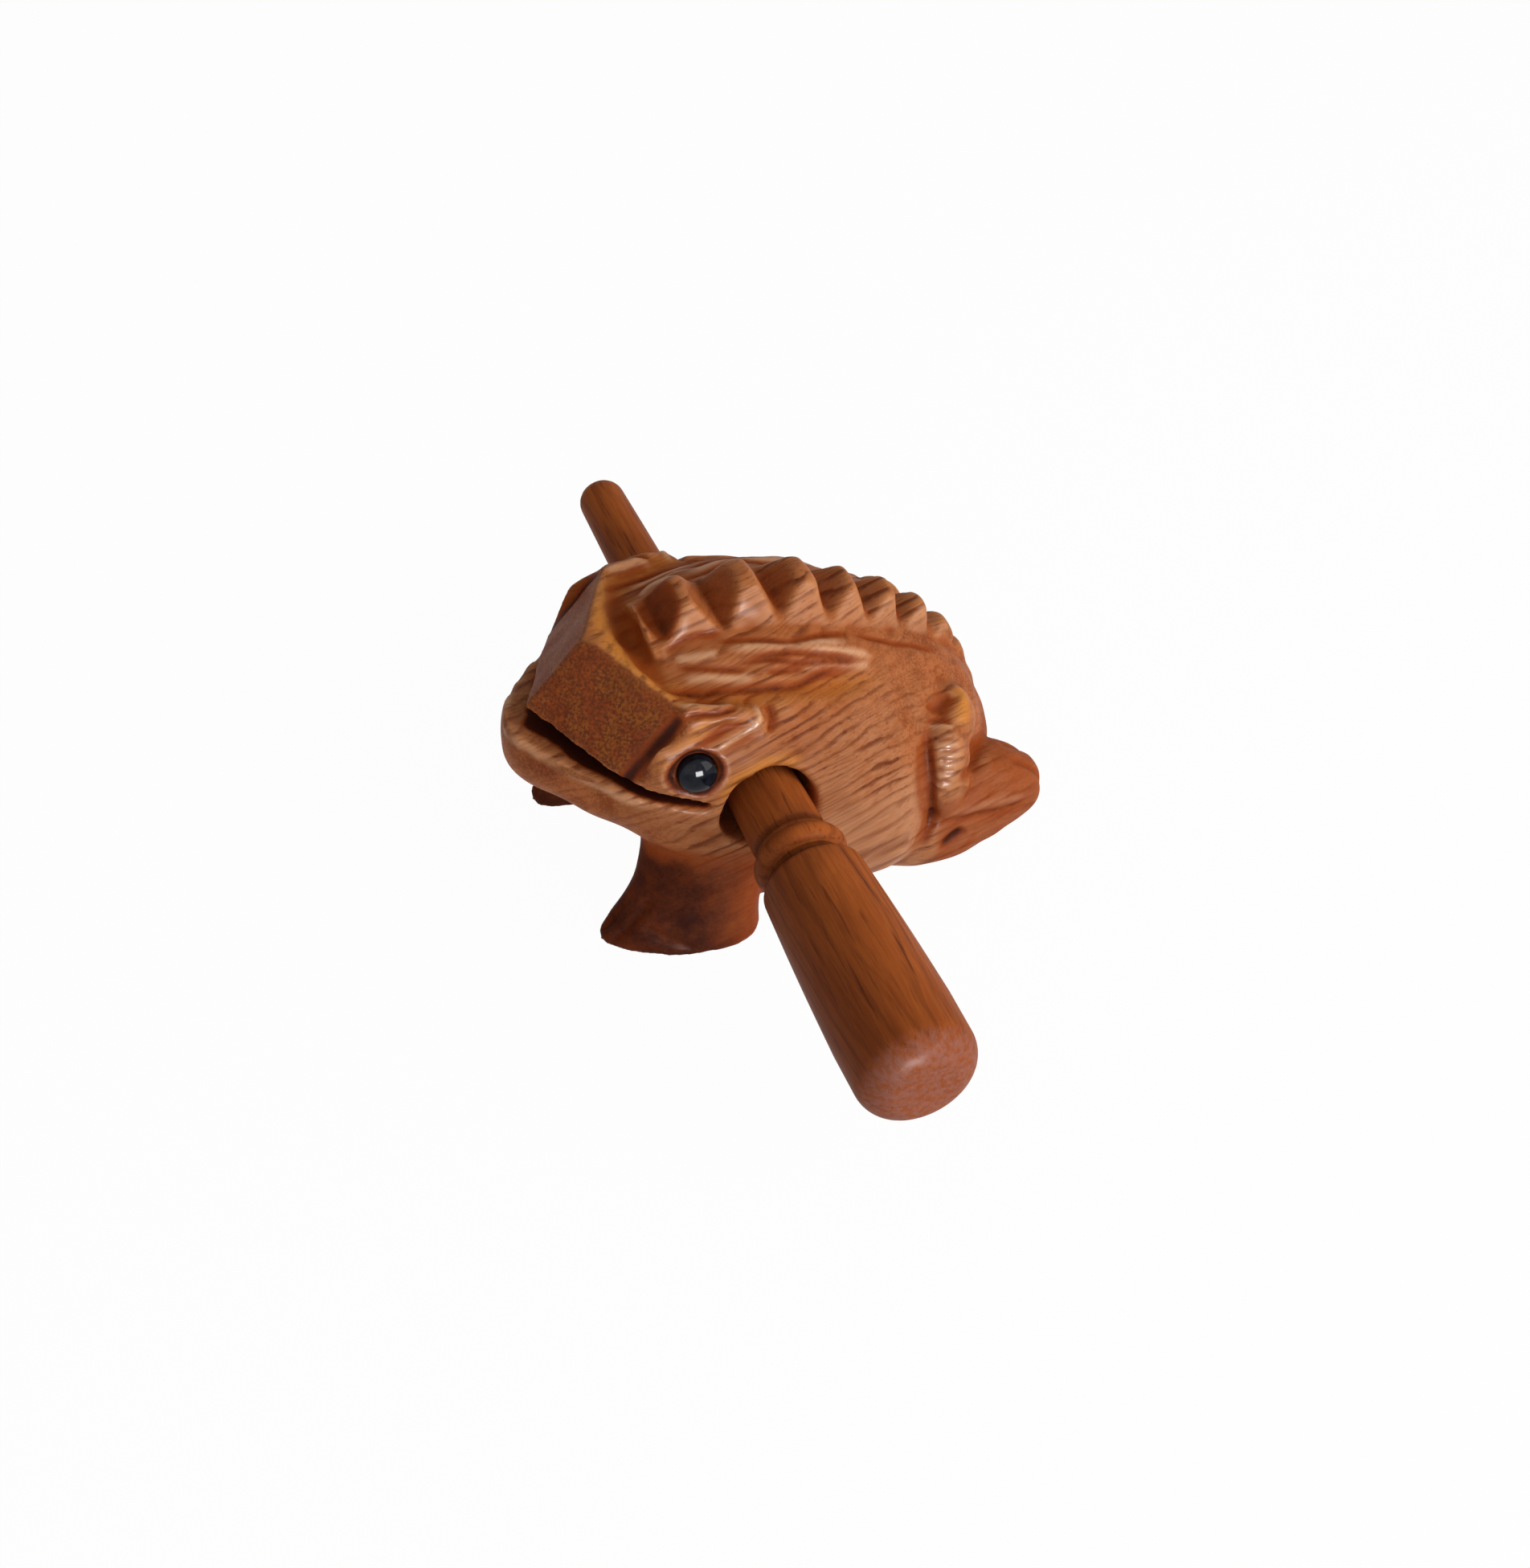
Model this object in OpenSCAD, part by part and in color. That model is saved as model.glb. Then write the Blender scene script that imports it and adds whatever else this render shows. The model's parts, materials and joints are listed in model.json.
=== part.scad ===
// Frog guiro: a frog carved from one block of wood with a notched ridge along its back, two bead eyes
// and a turned striker that is stored in the bore across the head.
// Millimetres. The frog faces -Y, its left side is +X and it stands on Z = 0.

/* [Body] */
// Length of the carved block, lip to rump
body_length = 95; // [86:1:106]
// Width of the carved block across the flanks
body_width = 62; // [56:1:68]
// Height of the carved back, without the ridge
body_height = 57; // [52:1:62]

/* [Ridge] */
// Height of the teeth above the back
ridge_height = 6.5; // [4:0.5:8]
// Width of the ridge at its foot
ridge_foot = 15.5; // [13:0.5:19]
// Width of the ridge along its top
ridge_top = 8; // [5:0.5:11]
// Number of notches across the ridge
notch_count = 8; // [5:1:9]
// Depth of a notch below the teeth
notch_depth = 7.5; // [4:0.5:8]
// Angle between the two walls of a notch
notch_angle = 64; // [40:1:76]

/* [Mouth] */
// Diameter of the bore across the head, the sound chamber
bore_d = 17.4; // [16.6:0.2:19]
// Height of the bore's axis
bore_height = 31.7; // [29:0.1:34]
// Height of the mouth slot at the lips
mouth_gap = 3.6; // [2:0.2:5]
// Height of the mouth slot at its corners
mouth_corner_gap = 1.4; // [1:0.2:2]
// Slope of the mouth slot, rising to the lips
mouth_slope = 16.5; // [14:0.5:20]
// Wood left between a corner of the mouth and the bore
corner_bridge = 2; // [1.5:0.5:6]
// Half width of the throat, where the mouth opens into the bore
throat_half = 15; // [10:1:18]

/* [Snout] */
// Setback of the upper lip behind the lower one
lip_setback = 4.2; // [3:0.2:8]
// Steepness of the two flat faces of the snout
snout_slope = 53; // [48:1:58]
// Sweep of the snout's faces, back from the middle
snout_sweep = 36; // [30:1:40]
// Half width of the snout's faces
snout_half = 22.4; // [20:0.2:23.4]
// Depth of the hollow that leaves a rim round the top of the head
dish_depth = 2.6; // [0:0.2:3.6]
// Thickness of the brows
brow_thickness = 4.8; // [3:0.2:6]

/* [Legs] */
// Length of a front foot on the ground
front_foot_length = 30; // [26:1:34]
// Width of a front foot
front_foot_width = 16.8; // [14:0.4:20]
// Distance of a front foot's middle from the frog's middle
front_foot_spread = 21.5; // [19:0.5:24]
// Width of a hind foot
hind_foot_width = 17.2; // [14:0.4:20]
// Height of a hind foot over the heel
hind_foot_height = 19.5; // [16:0.5:23]
// Distance of a hind foot's middle from the frog's middle
hind_foot_spread = 18; // [16:0.5:20]

/* [Eyes] */
// Diameter of an eye bead
eye_d = 7.2; // [6:0.2:9]
// Height of the bead's dome
eye_dome = 1.4; // [1:0.2:3]
// Height of the dome's edge above the cheek
eye_proud = 0.2; // [0.1:0.1:1]
// Depth of the socket drilled into the cheek
socket_depth = 4; // [3:0.5:6]
// Clearance of a bead all round in its socket
socket_gap = 0.1; // [0.05:0.05:0.3]

/* [Striker] */
// Length of the striker
striker_length = 157; // [146:1:170]
// Diameter of the rod near its tip
rod_d = 9; // [7:0.2:11]
// Diameter of the neck, where the rod meets the bead
neck_d = 13.8; // [12:0.2:14.6]
// Diameter of the bead
bead_d = 17.4; // [16:0.2:19]
// Width of the bead
bead_width = 5; // [3:0.5:7]
// Diameter at the bottom of the groove on each side of the bead
groove_d = 14.4; // [12:0.2:15.4]
// Width of a groove beside the bead
groove_width = 2.2; // [1.4:0.2:3]
// Diameter of the handle at its shoulder
shoulder_d = 19; // [17:0.5:20]
// Diameter of the handle at its thickest
handle_d = 22.2; // [19.5:0.1:24]
// Length of the handle
handle_length = 49; // [42:1:56]
// Rounding of the handle's end
handle_round = 6; // [4:0.5:9]
// Length of neck and bead that shows between the flank and the handle, stored
neck_show = 15.8; // [14:0.2:22]
// Tilt of the stored striker, handle down
striker_tilt = 2; // [0:0.5:3]
// Clearance under the neck where it rests in the bore
rest_gap = 0.3; // [0.2:0.05:0.6]

/* [Hidden] */
$fn = 64;

wood = [0.58, 0.31, 0.14];
dark_wood = [0.50, 0.25, 0.11];
bead_black = [0.05, 0.05, 0.06];

// Longer than any part of the frog, for cuts that run right through
far = 200;

// Lines of the carved block from lip to rump, as a carver would draw them on it. The place is a share of
// the length, the half width a share of the widest, and the three heights are shares of the back's height.
// [place, half width, widest line, back, belly, fullness above the widest line, fullness below it]
lines = [
    [0.000, 0.000, 0.640, 0.640, 0.640, 2.2, 2.2],
    [0.009, 0.120, 0.640, 0.720, 0.555, 2.2, 2.2],
    [0.032, 0.235, 0.635, 0.830, 0.505, 2.4, 2.3],
    [0.073, 0.385, 0.635, 0.940, 0.475, 2.8, 2.5],
    [0.135, 0.585, 0.635, 1.000, 0.425, 3.1, 3.0],
    [0.205, 0.760, 0.625, 1.010, 0.355, 3.2, 3.2],
    [0.270, 0.855, 0.580, 0.995, 0.230, 3.1, 3.0],
    [0.340, 0.905, 0.520, 0.985, 0.060, 3.0, 2.8],
    [0.420, 0.945, 0.450, 0.995, -0.060, 2.6, 2.6],
    [0.520, 0.985, 0.390, 0.990, -0.080, 2.2, 2.6],
    [0.610, 1.000, 0.340, 0.940, -0.080, 2.0, 2.6],
    [0.700, 0.955, 0.300, 0.860, -0.080, 2.0, 2.6],
    [0.750, 0.865, 0.285, 0.810, -0.080, 2.0, 2.6],
    [0.815, 0.755, 0.270, 0.735, -0.080, 2.1, 2.6],
    [0.910, 0.550, 0.240, 0.580, -0.050, 2.2, 2.4],
    [0.975, 0.300, 0.230, 0.370, 0.050, 2.2, 2.2],
    [1.000, 0.000, 0.220, 0.220, 0.220, 2.2, 2.2],
];
line_steps = 3;
back_steps = 22;
belly_steps = 7;

// The origin lies on the ground under the middle of the frog
lip_y = -0.52 * body_length;
function y_at(share) = lip_y + share * body_length;
function share_of(y) = (y - lip_y) / body_length;

function at(rows, i) = rows[min(max(i, 0), len(rows) - 1)];

// Row of values on the smooth curve through a list of rows, at a place counted in rows
function curve(rows, place) =
    let (
        i = min(floor(place), len(rows) - 2),
        u = place - i,
        a = at(rows, i - 1),
        b = at(rows, i),
        c = at(rows, i + 1),
        d = at(rows, i + 2)
    )
    b + u * (c - a) / 2 + u ^ 2 * (2 * a - 5 * b + 4 * c - d) / 2 + u ^ 3 * (3 * b - 3 * c + d - a) / 2;

// Place in rows at which the first column of a list of rows reaches a value
function place_of(rows, value, low = 0, high = undef, tries = 24) =
    let (top = is_undef(high) ? len(rows) - 1 : high, mid = (low + top) / 2)
    tries == 0 ? mid
    : curve(rows, mid)[0] < value ? place_of(rows, value, mid, top, tries - 1)
    : place_of(rows, value, low, mid, tries - 1);

function line_at(y) = curve(lines, place_of(lines, share_of(y)));
function back_z(y) = body_height * line_at(y)[3];
function flank_x(y) = body_width / 2 * line_at(y)[1];

// Hollow behind the rim of the head: half an oval round the front of the ridge that fades out along the back
dish_x = 0.48 * body_width / 2;
dish_y = y_at(0.39);
dish_front = 14;
dish_tail = 26;
dish_half = 4;
function dish_fall(x, y) =
    let (
        front = min(y - dish_y, 0) / dish_front,
        off = dish_x * (norm([x / dish_x, front]) - 1),
        fade = min(max((dish_y + dish_tail - y) / dish_tail, 0), 1)
    )
    dish_depth * fade * exp(-(off / dish_half) ^ 2);

// Point of the block's surface. The station is counted in rows of lines, and the angle runs up the left
// side from -90 under the belly to 90 on the back.
function block_point(station, angle) =
    let (
        row = curve(lines, station),
        y = y_at(row[0]),
        top = angle >= 0,
        power = 2 / (top ? row[5] : row[6]),
        rise = body_height * ((top ? row[3] : row[4]) - row[2]),
        x = body_width / 2 * row[1] * max(cos(angle), 0) ^ power,
        z = body_height * row[2] + rise * abs(sin(angle)) ^ power
    )
    [x, y, top ? z - dish_fall(x, y) : z];

function mirrored(p) = [-p[0], p[1], p[2]];

block_angles = concat(
    [for (i = [0 : belly_steps - 1]) -90 + 90 * i / belly_steps],
    [for (i = [0 : back_steps]) 90 * i / back_steps]
);

function block_ring(station) =
    let (left = [for (a = block_angles) block_point(station, a)])
    concat(left, [for (i = [len(left) - 2 : -1 : 1]) mirrored(left[i])]);

// Closed solid through rings of points. Seen from the first ring, each ring runs anticlockwise. The two
// halves of a ring are split into triangles as mirror images, so a frog's two sides come out alike.
module loft(rings) {
    count = len(rings[0]);
    last = len(rings) - 1;
    sides = [
        for (r = [0 : last - 1], i = [0 : count - 1])
            let (j = (i + 1) % count, a = r * count, b = a + count)
            each i < count / 2
                ? [[a + i, a + j, b + i], [a + j, b + j, b + i]]
                : [[a + i, a + j, b + j], [a + i, b + j, b + i]]
    ];
    first_end = [for (i = [count - 1 : -1 : 0]) i];
    last_end = [for (i = [0 : count - 1]) last * count + i];
    polyhedron(points = [for (r = rings) each r], faces = concat([first_end], sides, [last_end]));
}

module both_sides() {
    children();
    mirror([1, 0, 0]) children();
}

module block() {
    last = (len(lines) - 1) * line_steps;
    loft([for (i = [1 : last - 1]) block_ring(i / line_steps)]);
}

// Ridge along the back. It starts behind the rim of the head, and grows lower and narrower towards the rump.
ridge_start = y_at(0.276);
ridge_end = y_at(0.985);
ridge_front = 6;
ridge_fade = 13;
ridge_taper = 45;
ridge_low = 0.3;
ridge_crown = 0.5;
ridge_drop = 1;
ridge_sink = 5;
ridge_steps = 24;
function ridge_rise(y) =
    ridge_height * min(
        1,
        ridge_low + (y - ridge_start) / ridge_front,
        ridge_low + (ridge_end - y) / ridge_fade
    );
function ridge_narrow(y) = min(1, ridge_low + (ridge_end - y) / ridge_taper);

module ridge() {
    loft([
        for (k = [0 : ridge_steps])
            let (
                y = ridge_start + (ridge_end - ridge_start) * k / ridge_steps,
                z = back_z(y),
                tip = z + ridge_rise(y),
                foot = ridge_narrow(y) * ridge_foot / 2,
                top = ridge_narrow(y) * ridge_top / 2
            )
            [
                [foot, y, z - ridge_sink],
                [foot, y, z - ridge_drop],
                [top, y, tip - ridge_crown],
                [0, y, tip],
                [-top, y, tip - ridge_crown],
                [-foot, y, z - ridge_drop],
                [-foot, y, z - ridge_sink],
            ]
    ]);
}

// Notches across the ridge, square to the back and closer together towards the rump
first_notch = y_at(0.300);
last_notch = y_at(0.921);
notch_ratio = 0.885;
notch_reach = 14;
first_pitch = (last_notch - first_notch) * (1 - notch_ratio) / (1 - notch_ratio ^ (notch_count - 1));
module notches() {
    half_open = notch_reach * tan(notch_angle / 2);
    for (k = [0 : notch_count - 1]) {
        y = first_notch + first_pitch * (1 - notch_ratio ^ k) / (1 - notch_ratio);
        rise = ridge_rise(y);
        slope = atan2(back_z(y + 1) - back_z(y - 1), 2);
        translate([0, y, back_z(y) + rise * (1 - notch_depth / ridge_height)])
            rotate([slope, 0, 0])
                rotate([90, 0, 90])
                    linear_extrude(2 * ridge_foot, center = true)
                        polygon([[0, 0], [half_open, notch_reach], [-half_open, notch_reach]]);
    }
}

// Front leg, in level rings from below the sole up into the chest
// [share of the back's height, share of the foot's length, place of the middle, share of the foot's width,
// shift to the left as a share of the width]
front_leg_lines = [
    [-0.053, 1.01, 0.258, 1.00, 0.000],
    [0.035, 0.98, 0.262, 1.00, 0.000],
    [0.105, 0.85, 0.280, 0.98, -0.024],
    [0.193, 0.75, 0.296, 0.95, -0.048],
    [0.298, 0.69, 0.308, 0.95, -0.095],
    [0.421, 0.66, 0.317, 0.93, -0.155],
    [0.544, 0.64, 0.321, 0.88, -0.214],
];
leg_sides = 20;
leg_rings = 14;
toe_lean = 2.4;
heel_swell = 0.22;
module front_leg() {
    last = len(front_leg_lines) - 1;
    loft([
        for (k = [0 : leg_rings])
            let (
                row = curve(front_leg_lines, last * k / leg_rings),
                half_length = row[1] * front_foot_length / 2,
                half_width = row[3] * front_foot_width / 2,
                middle = front_foot_spread + row[4] * front_foot_width
            )
            [
                for (i = [0 : leg_sides - 1])
                    let (u = -360 * i / leg_sides, swell = 1 + heel_swell * sin(u))
                    [
                        middle + half_width * cos(u) * swell + toe_lean * sin(u),
                        y_at(row[2]) + half_length * sin(u),
                        row[0] * body_height,
                    ]
            ]
    ]);
}

// Hind foot, in rings across its length from inside the flank to the toes
// [place, share of the foot's width, shares of its height for the top and the bottom, shift to the left as a
// share of the width]
hind_foot_lines = [
    [0.675, 0.80, 0.55, -0.154, -0.116],
    [0.760, 1.00, 0.76, -0.154, 0.017],
    [0.835, 1.00, 0.95, -0.154, 0.035],
    [0.910, 0.91, 1.00, -0.103, 0.012],
    [0.978, 0.77, 0.85, -0.026, -0.012],
    [1.028, 0.56, 0.64, 0.077, -0.023],
    [1.050, 0.21, 0.46, 0.205, -0.029],
];
foot_fullness = 2.5;
function rounded(v) = sign(v) * abs(v) ^ (2 / foot_fullness);
module hind_foot() {
    last = len(hind_foot_lines) - 1;
    loft([
        for (k = [0 : leg_rings])
            let (
                row = curve(hind_foot_lines, last * k / leg_rings),
                top = row[2] * hind_foot_height,
                half_width = row[1] * hind_foot_width / 2,
                half_height = (row[2] - row[3]) * hind_foot_height / 2
            )
            [
                for (i = [0 : leg_sides - 1])
                    let (u = 360 * i / leg_sides)
                    [
                        hind_foot_spread + row[4] * hind_foot_width + half_width * rounded(cos(u)),
                        y_at(row[0]),
                        top - half_height + half_height * rounded(sin(u)),
                    ]
            ]
    ]);
}

// Swelling of the wood, an ellipsoid of rings along Y with its two small ends cut flat
lobe_sides = 16;
lobe_rings = 9;
lobe_end = 5;
module lobe(centre, half) {
    translate(centre)
        loft([
            for (k = [0 : lobe_rings])
                let (v = lobe_end + (180 - 2 * lobe_end) * k / lobe_rings)
                [
                    for (i = [0 : lobe_sides - 1])
                        let (u = 360 * i / lobe_sides)
                        [half[0] * sin(v) * cos(u), -half[1] * cos(v), half[2] * sin(v) * sin(u)]
                ]
        ]);
}

// Hind leg folded against the flank: hip, shin and foot
hip_half = [0.121 * body_width, 0.074 * body_length, 0.140 * body_height];
shin_half = [0.103 * body_width, 0.061 * body_length, 0.193 * body_height];
module hind_leg() {
    hind_foot();
    lobe([0.250 * body_width, y_at(0.831), 0.480 * body_height], hip_half);
    lobe([0.355 * body_width, y_at(0.807), 0.377 * body_height], shin_half);
}

// Brow, a raised band along the edge of the head that hooks down behind the eye
// [place, angle round the block, share of the thickness]
brow_lines = [
    [0.255, 50, 0.50],
    [0.290, 50, 0.85],
    [0.340, 49, 1.00],
    [0.395, 47, 1.00],
    [0.421, 43, 0.90],
    [0.426, 38, 0.60],
];
brow_sides = 10;
brow_rings = 12;
brow_sink = 0.9;
brow_hook = 0.6;
module brow() {
    last = len(brow_lines) - 1;
    loft([
        for (k = [0 : brow_rings])
            let (
                row = curve(brow_lines, last * k / brow_rings),
                surface = block_point(place_of(lines, row[0]), row[1]),
                middle = surface - brow_sink * [cos(row[1]), 0, sin(row[1])],
                turn = 90 * max(k / brow_rings - brow_hook, 0) / (1 - brow_hook),
                radius = row[2] * brow_thickness / 2
            )
            [
                for (i = [0 : brow_sides - 1])
                    let (u = 360 * i / brow_sides)
                    middle + radius * [cos(u), sin(turn) * sin(u), cos(turn) * sin(u)]
            ]
    ]);
}

// Wedge-shaped slot between the jaws. It opens into the bore at the throat, and at the cheeks it stops
// short of it.
bore_y = y_at(0.42);
mouth_lift = 0.4;
mouth_root = [0, bore_y, bore_height + mouth_lift];
mouth_reach = bore_y - lip_y;
corner_reach = bore_d / 2 + corner_bridge;
throat_flare = 4;
gap_per_mm = (mouth_gap - mouth_corner_gap) / (mouth_reach - corner_reach);
function mouth_half(reach) = (mouth_corner_gap + gap_per_mm * (reach - corner_reach)) / 2;

module at_mouth() {
    translate(mouth_root) rotate([-mouth_slope, 0, 0]) children();
}

module mouth() {
    at_mouth()
        intersection() {
            rotate([90, 0, 90])
                linear_extrude(far, center = true)
                    polygon([
                        [0, mouth_half(0)],
                        [-far, mouth_half(far)],
                        [-far, -mouth_half(far)],
                        [0, -mouth_half(0)],
                    ]);
            linear_extrude(far, center = true)
                polygon([
                    [-far, -far],
                    [far, -far],
                    [far, -corner_reach],
                    [throat_half + throat_flare, -corner_reach],
                    [throat_half, 0],
                    [-throat_half, 0],
                    [-throat_half - throat_flare, -corner_reach],
                    [-far, -corner_reach],
                ]);
        }
}

// Space in front of the left face of the snout, above the mouth
lip_run = mouth_reach - lip_setback;
upper_lip = mouth_root + [0, -lip_run, lip_run * tan(mouth_slope) + mouth_gap / 2];
module snout_cut() {
    intersection() {
        translate(upper_lip)
            rotate([0, 0, snout_sweep])
                rotate([snout_slope - 90, 0, 0])
                    translate([-far, -far, -far]) cube([2 * far, far, 2 * far]);
        at_mouth()
            translate([-far, -2 * far, 0]) cube([far + snout_half, 4 * far, 2 * far]);
    }
}

module bore() {
    translate([0, bore_y, bore_height])
        rotate([0, 90, 0]) cylinder(d = bore_d, h = far, center = true);
}

// Left eye: its place on the cheek and the way it looks, square to the cheek
eye_station = place_of(lines, 0.288);
eye_angle = 17;
eye_point = block_point(eye_station, eye_angle);
eye_normal = cross(
    block_point(eye_station + 0.05, eye_angle) - eye_point,
    block_point(eye_station, eye_angle + 1) - eye_point
);
eye_out = eye_normal / norm(eye_normal);

module at_left_eye() {
    translate(eye_point)
        rotate([0, acos(eye_out[2]), atan2(eye_out[1], eye_out[0])])
            translate([0, 0, -socket_depth]) children();
}

module eye_socket() {
    at_left_eye() cylinder(d = eye_d + 2 * socket_gap, h = 2 * socket_depth);
}

module below_ground() {
    translate([-far / 2, -far / 2, -far]) cube(far);
}

module frog_body() {
    color(wood)
        difference() {
            union() {
                block();
                ridge();
                both_sides() {
                    front_leg();
                    hind_leg();
                    brow();
                }
            }
            below_ground();
            notches();
            both_sides() {
                snout_cut();
                eye_socket();
            }
            mouth();
            bore();
        }
}

// Striker, turned about its own axis, which lies nearly along X. Stored, the neck rests low at the back of
// the bore's left end and the heavy handle hangs a little lower than the tip.
rest_x = flank_x(bore_y);
rest_turn = 50;
rest_offset = (bore_d - neck_d) / 2 - rest_gap;
shoulder_x = rest_x + neck_show;
end_x = shoulder_x + handle_length;
tip_x = end_x - striker_length;
shoulder_round = 1.5;
swell_place = 0.7;
neck_round = 1;
groove_lip = 0.6;
tip_share = 0.4;
function arc(centre, radius, from, to, steps) =
    [for (i = [0 : steps]) let (a = from + (to - from) * i / steps) centre + radius * [cos(a), sin(a)]];

// Half outline of the striker, [distance along its axis from the frog's middle, radius]
function striker_outline() =
    let (
        bead_x = shoulder_x - groove_width - bead_width,
        neck_x = bead_x - groove_width,
        tip_round = tip_share * rod_d,
        bead_round = bead_width / 2,
        swell_x = shoulder_x + swell_place * handle_length,
        mid_x = shoulder_x + swell_place * handle_length / 2,
        mid_r = (shoulder_d + 2 * handle_d) / 6
    )
    concat(
        [[tip_x, 0]],
        arc([tip_x + tip_round, rod_d / 2 - tip_round], tip_round, 180, 90, 6),
        [[neck_x - neck_round, neck_d / 2], [neck_x, groove_d / 2 - groove_lip], [bead_x, groove_d / 2]],
        arc([bead_x + bead_round, bead_d / 2 - bead_round], bead_round, 160, 20, 6),
        [[shoulder_x - groove_width, groove_d / 2], [shoulder_x, groove_d / 2]],
        arc([shoulder_x + shoulder_round, shoulder_d / 2 - shoulder_round], shoulder_round, 180, 95, 3),
        [[mid_x, mid_r], [swell_x, handle_d / 2]],
        arc([end_x - handle_round, handle_d / 2 - handle_round], handle_round, 85, 0, 7),
        [[end_x, 0]]
    );

module striker() {
    color(dark_wood)
        translate([rest_x, bore_y + rest_offset * cos(rest_turn), bore_height - rest_offset * sin(rest_turn)])
            rotate([0, 90 + striker_tilt, 0])
                translate([0, 0, -rest_x])
                    rotate_extrude() polygon([for (p = striker_outline()) [p[1], p[0]]]);
}

// Eye bead: a round plug that stands on the floor of its socket, with a domed front
dome_steps = 8;
module eye_bead() {
    r = eye_d / 2;
    ball = (r ^ 2 + eye_dome ^ 2) / (2 * eye_dome);
    crown = socket_depth + eye_proud + eye_dome;
    dome = [
        for (i = [0 : dome_steps])
            let (a = asin(r / ball) * (1 - i / dome_steps))
            [ball * sin(a), crown - ball * (1 - cos(a))]
    ];
    at_left_eye() rotate_extrude() polygon(concat([[0, 0], [r, 0]], dome));
}

module left_eye() {
    color(bead_black) eye_bead();
}

module right_eye() {
    color(bead_black) mirror([1, 0, 0]) eye_bead();
}

frog_body();
striker();
left_eye();
right_eye();
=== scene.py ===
# %% [markdown]
# # Dressing a carved frog guiro
# The object is a small wooden frog with a notched back. A turned stick is drawn over the notches to make it
# croak, and is stored in a bore across the head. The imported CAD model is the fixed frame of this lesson: it
# says where everything is and how it moves. Here the plain solids get a hand-carved skin, a wood finish and
# glossy bead eyes, and are set on a white table under soft light.

# %% Load the frame
import json

import bmesh
import bpy
import numpy as np
from mathutils import Matrix, Vector
from mathutils.bvhtree import BVHTree


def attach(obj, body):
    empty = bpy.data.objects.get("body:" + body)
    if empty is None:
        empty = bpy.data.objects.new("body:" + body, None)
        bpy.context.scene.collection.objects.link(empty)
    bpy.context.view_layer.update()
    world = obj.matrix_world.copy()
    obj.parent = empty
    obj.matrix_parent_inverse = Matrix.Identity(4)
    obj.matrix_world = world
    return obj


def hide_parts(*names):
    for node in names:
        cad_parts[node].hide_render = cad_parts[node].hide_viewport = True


MM = 0.001
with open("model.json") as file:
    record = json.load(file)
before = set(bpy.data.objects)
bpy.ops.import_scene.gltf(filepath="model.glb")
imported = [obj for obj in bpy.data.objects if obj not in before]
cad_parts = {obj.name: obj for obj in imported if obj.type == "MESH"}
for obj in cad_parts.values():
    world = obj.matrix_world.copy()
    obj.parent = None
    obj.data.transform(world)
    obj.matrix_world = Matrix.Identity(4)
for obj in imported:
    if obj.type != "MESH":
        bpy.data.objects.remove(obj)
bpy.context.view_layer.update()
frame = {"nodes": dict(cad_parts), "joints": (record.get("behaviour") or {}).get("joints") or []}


# %% [markdown]
# ## Shader maths as Python
# A material is a tree of nodes. Wiring them by hand is long, so one small class wraps a socket. Adding or
# multiplying two wrapped sockets adds the Math node that does it, and one method makes every other node.

# %% The socket wrapper
class Paint:
    """One output socket of a material. Python's operators on it add Math nodes."""

    def __init__(self, tree, socket=None):
        self.tree = tree
        self.socket = socket

    def node(self, kind, settings=None, sockets=None, output=0):
        """Adds a node, sets its settings, then the values or links of its sockets."""
        made = self.tree.nodes.new(kind)
        for key, value in (settings or {}).items():
            setattr(made, key, value)
        for key, value in (sockets or {}).items():
            self.feed(made.inputs[key], value)
        return Paint(self.tree, made.outputs[output])

    def feed(self, socket, value):
        """Links a wrapped socket to an input, or sets the input to a plain value."""
        if isinstance(value, Paint):
            self.tree.links.new(value.socket, socket)
        else:
            socket.default_value = value

    def math(self, operation, a, b=0.0):
        """A Math node on two sockets or values."""
        return self.node("ShaderNodeMath", {"operation": operation}, {0: a, 1: b})

    def __add__(self, other):
        return self.math("ADD", self, other)

    def __sub__(self, other):
        return self.math("SUBTRACT", self, other)

    def __rsub__(self, other):
        return self.math("SUBTRACT", other, self)

    def __mul__(self, other):
        return self.math("MULTIPLY", self, other)

    def __truediv__(self, other):
        return self.math("DIVIDE", self, other)

    __radd__ = __add__
    __rmul__ = __mul__

    def step(self, low, high):
        """0 below low, 1 above high and a smooth rise between them."""
        settings = {"interpolation_type": "SMOOTHSTEP"}
        return self.node("ShaderNodeMapRange", settings, {"Value": self, "From Min": low, "From Max": high})

    def mix(self, start, end):
        """The colour start where this is 0, end where it is 1."""
        return self.node("ShaderNodeMix", {"data_type": "RGBA"}, {0: self, 6: start, 7: end}, output=2)

    def noise(self, scale, detail=2.0, roughness=0.5):
        """Noise on these coordinates, with a scale for each axis."""
        placed = self.node("ShaderNodeMapping", None, {"Vector": self, "Scale": scale})
        sockets = {"Vector": placed, "Scale": 1.0, "Detail": detail, "Roughness": roughness}
        return self.node("ShaderNodeTexNoise", None, sockets)

    def mark(self, name):
        """A measure kept on the mesh."""
        return self.node("ShaderNodeAttribute", {"attribute_name": name}, output="Fac")


def new_finish(name):
    """An empty material, its Principled shader and a wrapper to paint with."""
    finish = bpy.data.materials.new(name)
    finish.use_nodes = True
    return finish, finish.node_tree.nodes["Principled BSDF"], Paint(finish.node_tree)


# %% [markdown]
# ## The frog's skin
# The frog is carved from one block with knives and gouges, then sanded and lacquered, so no edge is sharp and
# no face is quite flat. The CAD body has the right form but flat facets. A voxel remesh turns a merged copy
# of it into an even skin of small squares, and a few rounds of smoothing work like sandpaper.

# %% Remesh the body
VOXEL = 0.6 * MM


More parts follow.
